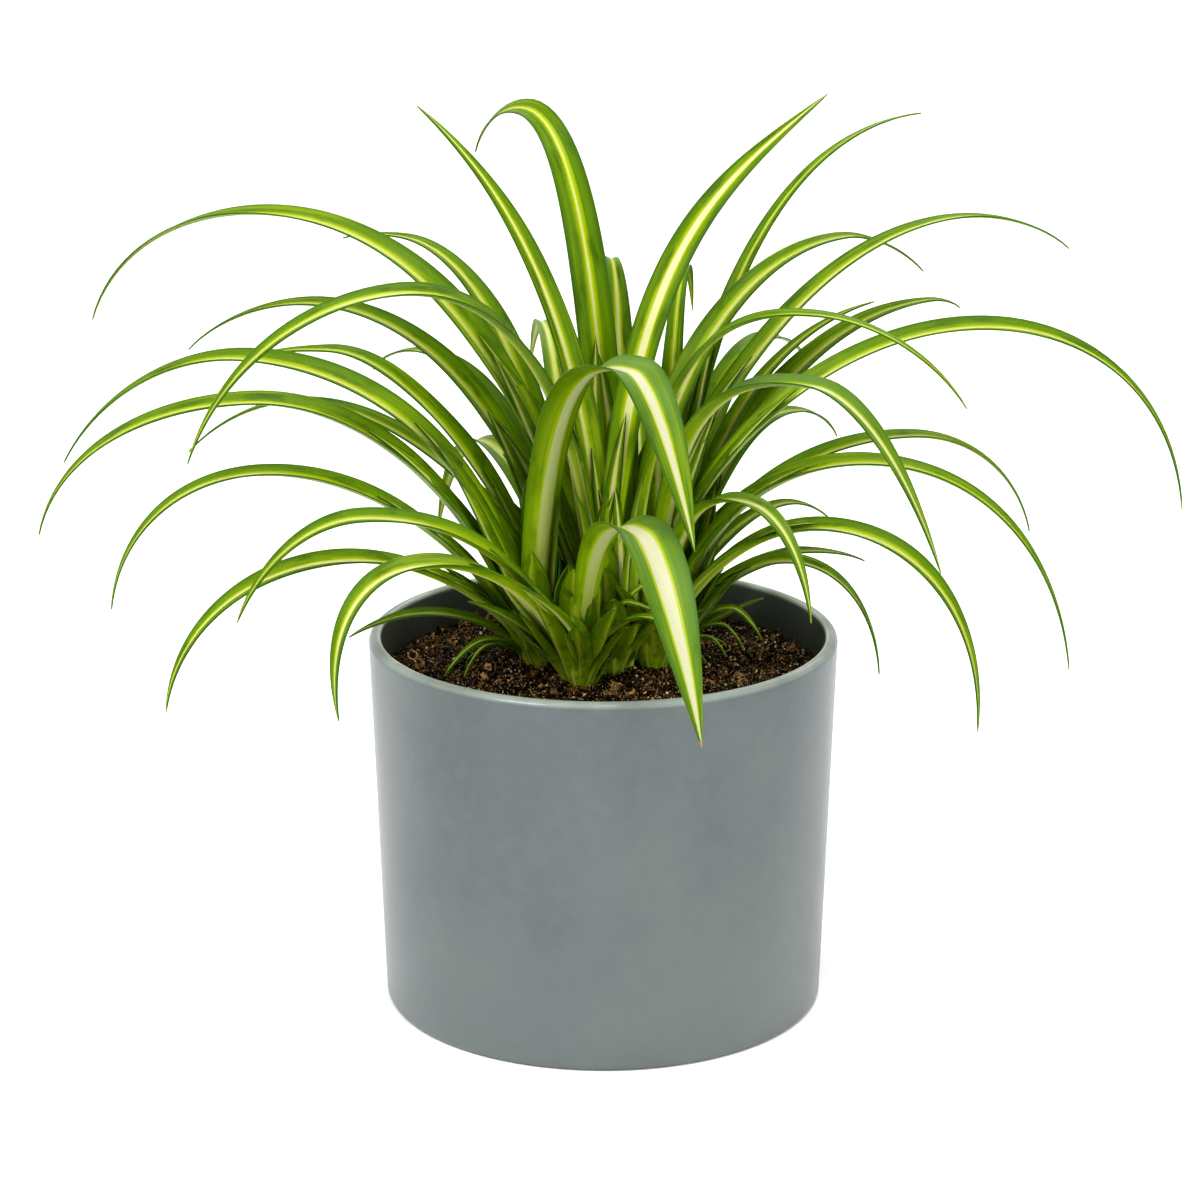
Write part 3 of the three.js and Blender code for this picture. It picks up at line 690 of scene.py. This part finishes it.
class Midrib:
    """The curve that a leaf follows in its upright plane, read by the share of its length."""

    def __init__(self, row):
        start = (row["root"], row["base"])
        rise = math.radians(row["rise"])
        fall = math.radians(-row["fall"])
        if row["crest"]:
            self.points = span(start, rise, row["crest"], 0.0, row["bend"])
            self.points += span(row["crest"], 0.0, row["tip"], fall, LATE_BEND)[1:]
        else:
            self.points = span(start, rise, row["tip"], fall, row["bend"])
        self.lengths = [0.0]
        for before, after in zip(self.points, self.points[1:]):
            self.lengths.append(self.lengths[-1] + (after - before).length)

    def point(self, share):
        wanted = clamp(share, 0.0, 1.0) * self.lengths[-1]
        index = 1
        while index < len(self.lengths) - 1 and self.lengths[index] < wanted:
            index += 1
        before, after = self.lengths[index - 1:index + 1]
        step_share = (wanted - before) / (after - before)
        return self.points[index - 1].lerp(self.points[index], step_share)

    def slope(self, share):
        near = 0.012
        return (self.point(share + near) - self.point(share - near)).normalized()


def blade_width(row, along):
    swell = lerp(row["neck"], 1, smoothstep(along, 0, row["widest"]))
    past_widest = max(0.0, (along - row["widest"]) / (1 - row["widest"]))
    return max(TIP_WIDTH, row["width"] * swell * (1 - past_widest ** row["taper"]))


def blade_fold(along):
    opening = lerp(ROOT_FOLD, MIDDLE_FOLD, smoothstep(along, 0, 0.4))
    return math.radians(lerp(opening, TIP_FOLD, smoothstep(along, 0.4, 1)))


def channel(across):
    """Height over a blade's section, from -1 at its midrib to 1 at its edges, where it droops."""
    midrib_round = 0.012
    rounded = math.sqrt(across * across + midrib_round) - math.sqrt(midrib_round)
    return 2.15 * rounded - 1.0 - 0.15 * across ** 4


def bend_leaf(blade, shoot, row, chance):
    """Moves the flat blank's vertices to where the leaf of that row has them."""
    rib = Midrib(row)
    foot = Vector((shoot[0], shoot[1], 0))
    side_turn = row["roll"]
    if side_turn is None:
        side_turn = FACE_TURN * math.cos(math.radians(row["side"]))
    twist = chance.uniform(-9, 9)
    wave_phase = chance.uniform(0, 2 * math.pi)
    wave_count = chance.uniform(2.0, 3.6)
    drift = row["drift"]
    if drift is None:
        drift = chance.uniform(-0.8, 0.8)

    @functools.cache
    def station(along):
        """The section at a share of the length: its middle, the ways across and up, its half
        width and its fold."""
        side = math.radians(row["side"] + row["sweep"] * along * along)
        outward = Vector((math.cos(side), math.sin(side), 0))
        level = Vector((math.sin(side), -math.cos(side), 0))
        point = rib.point(along * row["share"])
        slope = rib.slope(along * row["share"])
        heading = outward * slope.x + Vector((0, 0, slope.y))
        roll = side_turn * smoothstep(along, 0, 0.45) + twist * smoothstep(along, 0.2, 1)
        across = Matrix.Rotation(math.radians(roll), 3, heading) @ level
        upward = across.cross(heading)
        centre = foot + outward * point.x + Vector((0, 0, point.y))
        centre += level * drift * math.sin(math.pi * along) + upward * row["above"]
        return centre, across, upward, blade_width(row, along) / 2, blade_fold(along)

    for vertex in blade.data.vertices:
        across_share = vertex.co.x
        along = (vertex.co.y + 1) / 2
        centre, across, upward, half, fold = station(along)
        lift = half * math.sin(fold) / 2 * channel(across_share)
        wave = math.sin(wave_phase + 2 * math.pi * wave_count * along + across_share)
        lift += 0.035 * half * wave * across_share ** 2 * smoothstep(along, 0.1, 0.4)
        vertex.co = MM * (centre + across * across_share * half * math.cos(fold) + upward * lift)


def tone_leaf(blade, row, number):
    """Writes what the finish needs to know of this leaf on its mesh."""
    colour = (row["stripe"], row["cream"], row["pale"], row["brown"])
    layers = (("tone", "FLOAT_COLOR", "color", colour),
              ("leaf_number", "FLOAT", "value", (number,)),
              ("painted_sheen", "FLOAT", "value", (row["painted_sheen"],)))
    for name, kind, field, values in layers:
        layer = blade.data.attributes.new(name, kind, "POINT")
        layer.data.foreach_set(field, values * len(blade.data.vertices))


def model_leaf_blank(across_faces, along_faces):
    """A flat leaf, 2 by 2 before it is bent, that ends in a point."""
    deselect_all()
    bpy.ops.mesh.primitive_grid_add(x_subdivisions=across_faces, y_subdivisions=along_faces, size=2)
    blank = bpy.context.object
    edit_where(blank, "VERT", lambda place: place.y > 0.999)
    bpy.ops.mesh.merge(type="CENTER")
    leave_edit()
    blank.data.materials.append(LEAF_UPPER)
    blank.data.materials.append(LEAF_UNDER)
    return blank


leaf_numbers = itertools.count(1)


def grow_leaf(name, shoot, row, blank):
    number = next(leaf_numbers)
    blade = copy_of(blank, name)
    bend_leaf(blade, shoot, row, random.Random(number))
    tone_leaf(blade, row, number * LEAF_PATTERN_STEP)
    add_modifier(blade, "SOLIDIFY", thickness=BLADE_THICKNESS * MM, offset=-1.0,
                 material_offset=1, use_even_offset=False)
    shade_smooth(blade, 50)
    return blade


# ---- Shoots ----

def model_stem(name, x, y):
    """The short pale stem in a shoot, a little swollen at the soil."""
    height, radius = STEM_RINGS[0]
    middle = (STEM_FOOT_HEIGHT + height) / 2
    deselect_all()
    bpy.ops.mesh.primitive_cylinder_add(
        vertices=STEM_SIDES, radius=radius * MM, depth=(height - STEM_FOOT_HEIGHT) * MM,
        location=(x * MM, y * MM, middle * MM))
    stem = bpy.context.object
    stem.name = name
    apply_place(stem)
    for next_height, next_radius in STEM_RINGS[1:]:
        below_top = (height - 1) * MM
        edit_where(stem, "FACE", lambda place, normal: normal.z > 0.9 and place.z > below_top)
        extrude_up(bpy.ops.mesh.extrude_region_move, next_height - height)
        resize_level(next_radius / radius, (x, y, next_height))
        leave_edit()
        height, radius = next_height, next_radius
    add_modifier(stem, "SUBSURF", levels=1, render_levels=1)
    shade_smooth(stem, 70)
    stem.data.materials.append(LEAF_UNDER)
    tone_leaf(stem, leaf(0, None, stripe=0.1, cream=0.2, pale=1, painted_sheen=0), 0.0)
    return stem


def basal_scales(name):
    """Short blunt sheaths wrapped round a shoot's foot, which is narrow where it meets the soil.
    Each stands higher and closer in than the last, a golden angle further round."""
    chance = random.Random(name)
    rows = []
    for index in range(9):
        side = index * 137.5 + chance.uniform(-18, 18)
        height = 101 + 2.6 * index + chance.uniform(-2, 3)
        reach = 7.5 - 0.45 * index + chance.uniform(-0.5, 0.8)
        rows.append(leaf(
            side, (reach, height), None, 66, -84, width=10.5, root=2.4 - 0.15 * index, base=86.5,
            neck=0.34, widest=0.5, taper=3.6, stripe=0.06, cream=0.1, pale=2.5))
    return rows


def inner_leaves(name):
    """Blunt leaves that stand up inside a shoot and close its heart."""
    chance = random.Random(name + "heart")
    rows = []
    for _ in range(4):
        side = 90 + chance.uniform(-80, 80)
        reach = chance.uniform(6, 17)
        height = chance.uniform(104, 120)
        rows.append(leaf(
            side, (reach, height), None, 87, -66, width=chance.uniform(7, 9), root=1.5,
            neck=0.45, widest=0.55, taper=2.8, stripe=chance.uniform(0.1, 0.3),
            cream=chance.uniform(0.1, 0.4), pale=1.2))
    return rows


def leaning_sheaths(name):
    """Short pale leaves that lean out low round the outer side of a shoot's foot, like a fan."""
    chance = random.Random(name + "fan")
    x, y = SHOOTS[name]
    outward = math.degrees(math.atan2(y, x))
    rows = []
    for index in range(8):
        side = outward + lerp(-115, 115, index / 7) + chance.uniform(-8, 8)
        reach = chance.uniform(12, 20)
        height = 95 + reach * chance.uniform(0.7, 1.2)
        rows.append(leaf(
            side, (reach, height), None, chance.uniform(60, 74), chance.uniform(-46, -24),
            width=chance.uniform(7, 9.5), root=1.5, base=87, neck=0.5, widest=0.5, taper=3.2,
            stripe=chance.uniform(0.05, 0.14), cream=chance.uniform(0.1, 0.2), pale=1.6))
    return rows


def companions(name):
    """Shorter leaves that follow the long ones inside their channel, and part from them lower down,
    where they thicken the plant's middle."""
    chance = random.Random(name + "beside")
    rows = []
    for long_leaf in LEAVES[name].values():
        if FACING_SIDES[0] < long_leaf["side"] < FACING_SIDES[1]:
            continue
        beside = COMPANIONS
        if name == "shoot_inner":
            beside = INNER_COMPANIONS
        elif BACK_SIDES[0] < long_leaf["side"] < BACK_SIDES[1]:
            beside = BACK_COMPANIONS
        for drift, share in beside:
            rows.append(dict(
                long_leaf, share=share + chance.uniform(-0.05, 0.06),
                above=chance.uniform(0.3, 0.7), drift=drift + chance.uniform(-1.5, 1.5),
                width=long_leaf["width"] * COMPANION_WIDTH_SHARE, neck=0.7, widest=0.4,
                taper=2.2, stripe=chance.uniform(0.18, 0.34), cream=chance.uniform(0.4, 0.9),
                pale=0.9, brown=0))
    return rows


def grow_shoot(name, place, long_blank, small_blank):
    """The long leaves of one shoot, a piece each, and its stem and small leaves as one."""
    for leaf_name, row in LEAVES[name].items():
        blade = grow_leaf("blade_" + leaf_name, place, row, long_blank)
        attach(blade, "root")
        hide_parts("leaf_" + leaf_name)
    small = [model_stem("stem", *place)]
    rows = YOUNG_LEAVES[name] + basal_scales(name) + inner_leaves(name)
    rows += leaning_sheaths(name) + companions(name)
    for row in rows:
        small.append(grow_leaf("young", place, row, small_blank))
    rosette = join(small, name + "_rosette")
    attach(rosette, "root")
    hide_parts(name)


# ---- Pot ----

def model_pot():
    deselect_all()
    bpy.ops.mesh.primitive_cylinder_add(vertices=POT_SIDES, radius=POT_BASE_RADIUS * MM,
                                        depth=POT_HEIGHT * MM, location=(0, 0, POT_HEIGHT / 2 * MM))
    pot = bpy.context.object
    pot.name = "pot_shell"
    apply_place(pot)
    top = (POT_HEIGHT - 0.1) * MM
    inner_rim_radius = POT_RIM_RADIUS - POT_WALL
    inner_base_radius = POT_BASE_RADIUS - POT_WALL
    edit_where(pot, "VERT", lambda place: place.z > top)
    resize_level(POT_RIM_RADIUS / POT_BASE_RADIUS, (0, 0, POT_HEIGHT))
    leave_edit()
    edit_where(pot, "FACE", lambda place, normal: place.z > top and normal.z > 0.9)
    bpy.ops.mesh.inset(thickness=POT_WALL * MM, depth=0)
    extrude_up(bpy.ops.mesh.extrude_region_move, POT_FLOOR - POT_HEIGHT)
    resize_level(inner_base_radius / inner_rim_radius, (0, 0, POT_FLOOR))
    leave_edit()
    for radius, size, steps in ((POT_RIM_RADIUS, POT_RIM_OUTER_ROUND, 6),
                                (inner_rim_radius, POT_RIM_INNER_ROUND, 4)):
        edit_where(pot, "EDGE", lambda place: place.z > top
                   and abs(math.hypot(place.x, place.y) - radius * MM) < 0.5 * MM)
        bpy.ops.mesh.bevel(offset=size * MM, segments=steps, profile=0.5, affect="EDGES")
        leave_edit()
    edit_where(pot, "EDGE", lambda place: place.z < 0.1 * MM)
    bpy.ops.mesh.bevel(offset=POT_FOOT_ROUND * MM, segments=5, profile=0.5, affect="EDGES")
    leave_edit()
    shade_smooth(pot, 40)
    pot.data.materials.append(ceramic_finish())
    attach(pot, "root")
    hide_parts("pot")


# ---- Soil ----

def soil_height(x, y):
    """Height of the soil in millimetres: a low mound with lumps."""
    share = math.hypot(x, y) / SOIL_RADIUS
    lumps = 0.0
    for part, along_x, along_y, start in LUMP_WAVES:
        lumps += SOIL_LUMP * part * math.sin(along_x * x + along_y * y + start)
    crumbs = SOIL_CRUMB_HEIGHT * noise.fractal(Vector((x, y, 3.0)) * 0.2, 0.7, 2.1, 5)
    settle = 1 - share ** 6
    return SOIL_EDGE_HEIGHT + SOIL_CROWN_RISE * (1 - share * share) + (lumps + crumbs) * settle


def model_soil():
    deselect_all()
    bpy.ops.mesh.primitive_circle_add(vertices=SOIL_SIDES, radius=SOIL_RADIUS * MM,
                                      fill_type="NOTHING", location=(0, 0, SOIL_EDGE_HEIGHT * MM))
    soil = bpy.context.object
    soil.name = "soil_bed"
    apply_place(soil)
    edit_where(soil, "EDGE", lambda place: True)
    for ring in range(SOIL_RINGS, 1, -1):
        bpy.ops.mesh.extrude_edges_move()
        resize_level((ring - 1) / ring, (0, 0, 0))
    bpy.ops.mesh.extrude_edges_move()
    bpy.ops.mesh.merge(type="CENTER")
    leave_edit()
    for vertex in soil.data.vertices:
        vertex.co.z = soil_height(vertex.co.x / MM, vertex.co.y / MM) * MM

    edge = (SOIL_RADIUS - 0.05) * MM
    shoulder_radius = POT_BASE_RADIUS - POT_WALL - SOIL_CLEARANCE
    foot_height = POT_FLOOR + SOIL_CLEARANCE
    edit_where(soil, "EDGE", lambda place: math.hypot(place.x, place.y) > edge)
    extrude_up(bpy.ops.mesh.extrude_edges_move, SOIL_SHOULDER_HEIGHT - SOIL_EDGE_HEIGHT)
    resize_level(shoulder_radius / SOIL_RADIUS, (0, 0, SOIL_SHOULDER_HEIGHT))
    extrude_up(bpy.ops.mesh.extrude_edges_move, foot_height - SOIL_SHOULDER_HEIGHT)
    resize_level(SOIL_FOOT_RADIUS / shoulder_radius, (0, 0, foot_height))
    bpy.ops.mesh.edge_face_add()
    bpy.ops.mesh.select_all(action="SELECT")
    bpy.ops.mesh.normals_make_consistent(inside=False)
    leave_edit()
    shade_smooth(soil, 60)
    soil.data.materials.append(soil_finish("damp_soil", srgb(4, 3, 1), srgb(38, 26, 11)))
    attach(soil, "root")
    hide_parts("soil")


def model_clod(name, seed, size, roundness, detail):
    """One irregular crumb: round, then roughened, then given its size along each axis."""
    deselect_all()
    bpy.ops.mesh.primitive_ico_sphere_add(subdivisions=detail, radius=1.0)
    clod = bpy.context.object
    clod.name = name
    for vertex in clod.data.vertices:
        rough = noise.noise(vertex.co * 1.7 + Vector((seed * CRUMB_PATTERN_STEP, 0, 0)))
        vertex.co *= 1 + (1 - roundness) * rough
        vertex.co = [place * length for place, length in zip(vertex.co, size)]
    shade_smooth(clod, 35)
    return clod


def model_clods(name, count, first_seed, size, roundness, detail):
    return [model_clod(f"{name}_{index}", first_seed + index, size, roundness, detail)
            for index in range(count)]


def model_curl(name, turn, radius, width):
    """A curled strip of bark or coir: a flat strip rolled into part of a ring."""
    deselect_all()
    bpy.ops.mesh.primitive_grid_add(x_subdivisions=7, y_subdivisions=1, size=2)
    curl = bpy.context.object
    curl.name = name
    for vertex in curl.data.vertices:
        angle = math.radians(turn) * vertex.co.x / 2
        reach = radius * (1 + 0.12 * vertex.co.x)
        vertex.co = Vector((reach * math.sin(angle), vertex.co.y * width / 2,
                            reach * (1 - math.cos(angle))))
    add_modifier(curl, "SOLIDIFY", thickness=0.28, offset=0.0)
    shade_smooth(curl, 50)
    return curl


def scatter(name, models, material, count, seed, scales, sink, lean=40):
    """Strews copies of the models over the soil and joins them in one piece. Models are in
    millimetres. scales: smallest and largest size. sink: how deep they lie, as a share of it.
    lean: degrees that they may tip."""
    chance = random.Random(seed)
    gathered = bmesh.new()
    tones = []
    placed = 0
    while placed < count:
        x = chance.uniform(-1, 1) * STREWN_RADIUS
        y = chance.uniform(-1, 1) * STREWN_RADIUS
        if math.hypot(x, y) > STREWN_RADIUS:
            continue
        size = lerp(scales[0], scales[1], chance.random() ** 2)
        if any(math.hypot(x - shoot_x, y - shoot_y) < SHOOT_KEEP_OFF
               for shoot_x, shoot_y in SHOOTS.values()):
            continue
        model = chance.choice(models)
        turn = Matrix.Rotation(chance.uniform(0, 2 * math.pi), 4, "Z")
        tilt = Matrix.Rotation(math.radians(chance.uniform(-lean, lean)), 4, "X")
        tip = Matrix.Rotation(math.radians(chance.uniform(-lean, lean)), 4, "Y")
        move = Matrix.Translation(Vector((x, y, soil_height(x, y) - sink * size)) * MM)
        crumb = model.data.copy()
        crumb.transform(move @ turn @ tilt @ tip @ Matrix.Scale(size * MM, 4))
        gathered.from_mesh(crumb)
        tones += [chance.random() ** 3] * len(crumb.vertices)
        bpy.data.meshes.remove(crumb)
        placed += 1
    mesh = bpy.data.meshes.new(name)
    gathered.to_mesh(mesh)
    gathered.free()
    mesh.attributes.new("crumb_tone", "FLOAT", "POINT")
    mesh.attributes["crumb_tone"].data.foreach_set("value", tones)
    mesh.materials.append(material)
    piece = bpy.data.objects.new(name, mesh)
    bpy.context.collection.objects.link(piece)
    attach(piece, "root")


def strew_soil():
    """What lies loose on the bed, from clods to fine grit."""
    clods = model_clods("clod", 4, 0, (1, 0.85, 0.7), 0.2, 2)
    grains = model_clods("grain", 3, 9, (1, 0.8, 0.75), 0.3, 1)
    chips = model_clods("chip", 3, 20, (2.0, 0.8, 0.3), 0.3, 2)
    curls = [model_curl("curl_wide", 200, 1.6, 1.6), model_curl("curl_open", 120, 2.6, 1.1),
             model_curl("curl_tight", 300, 1.1, 0.9)]
    scatter("soil_clods", clods, soil_finish("clod_soil", srgb(5, 3, 1), srgb(62, 41, 20), 900.0),
            count=760, seed=3, scales=(0.5, 1.7), sink=0.1)
    scatter("soil_grains", grains,
            soil_finish("grain_soil", srgb(6, 4, 2), srgb(92, 62, 31), 1200.0),
            count=6500, seed=4, scales=(0.22, 0.62), sink=-0.1)
    scatter("bark_chips", chips, soil_finish("bark", srgb(12, 8, 4), srgb(104, 70, 36), 900.0),
            count=420, seed=5, scales=(0.5, 1.5), sink=0.0, lean=30)
    scatter("bark_curls", curls,
            soil_finish("curled_bark", srgb(30, 19, 10), srgb(206, 160, 102), 900.0),
            count=260, seed=6, scales=(0.5, 1.2), sink=-0.1, lean=70)
    # Golden crumbs, made nearly white, which also stand as painted glints on the damp soil.
    scatter("golden_crumb_painted_glints", grains,
            soil_finish("golden_crumb_painted_glint", srgb(140, 104, 60), srgb(255, 238, 196), 1500.0),
            count=2200, seed=7, scales=(0.16, 0.5), sink=-0.8)
    scatter("pale_grit", grains, speck_finish(),
            count=90, seed=8, scales=(0.2, 0.5), sink=-0.5)
    for model in clods + grains + chips + curls:
        remove(model)


# ---- Floor, light and camera ----

def set_stage():
    deselect_all()
    bpy.ops.mesh.primitive_plane_add(size=12, location=(0, 0, 0))
    floor = bpy.context.object
    floor.name = "pale_floor"
    paper = Finish("pale_paper", roughness=0.9)
    grain = paper.noise(paper.object_place(), 40.0)
    paper.paint("Base Color", paper.mix(grain, srgb(246, 246, 246), srgb(249, 249, 249)))
    floor.data.materials.append(paper.material)


def add_lamp(name, place, size, power):
    deselect_all()
    direction = Vector(LAMP_AIM) - Vector(place)
    turn = direction.to_track_quat("-Z", "Y").to_euler()
    bpy.ops.object.light_add(type="AREA", location=place, rotation=turn)
    lamp = bpy.context.object
    lamp.name = name
    lamp.data.size = size
    lamp.data.energy = power


def light_studio():
    world = bpy.data.worlds.new("studio")
    bpy.context.scene.world = world
    world.use_nodes = True
    sky = world.node_tree.nodes["Background"]
    sky.inputs["Color"].default_value = (1, 1, 1, 1)
    sky.inputs["Strength"].default_value = SKY_STRENGTH
    for name, place, size, power in LAMPS:
        add_lamp(name, place, size, power)
    bpy.context.scene.view_settings.view_transform = "Standard"
    bpy.context.scene.view_settings.look = "Medium High Contrast"


def place_camera():
    deselect_all()
    bpy.ops.object.camera_add(location=CAMERA_PLACE, rotation=(math.radians(CAMERA_TILT), 0, 0))
    camera = bpy.context.object
    camera.name = "photograph_view"
    camera.data.lens = CAMERA_LENS
    camera.data.sensor_width = CAMERA_SENSOR
    camera.data.clip_start = 0.01
    bpy.context.scene.camera = camera


# ---- The part and its stage ----

leaf_blank = model_leaf_blank(*LONG_LEAF_FACES)
small_leaf_blank = model_leaf_blank(*SMALL_LEAF_FACES)
for shoot_name, shoot_place in SHOOTS.items():
    grow_shoot(shoot_name, shoot_place, leaf_blank, small_leaf_blank)
remove(leaf_blank)
remove(small_leaf_blank)

model_pot()
model_soil()
strew_soil()

set_stage()
light_studio()
place_camera()
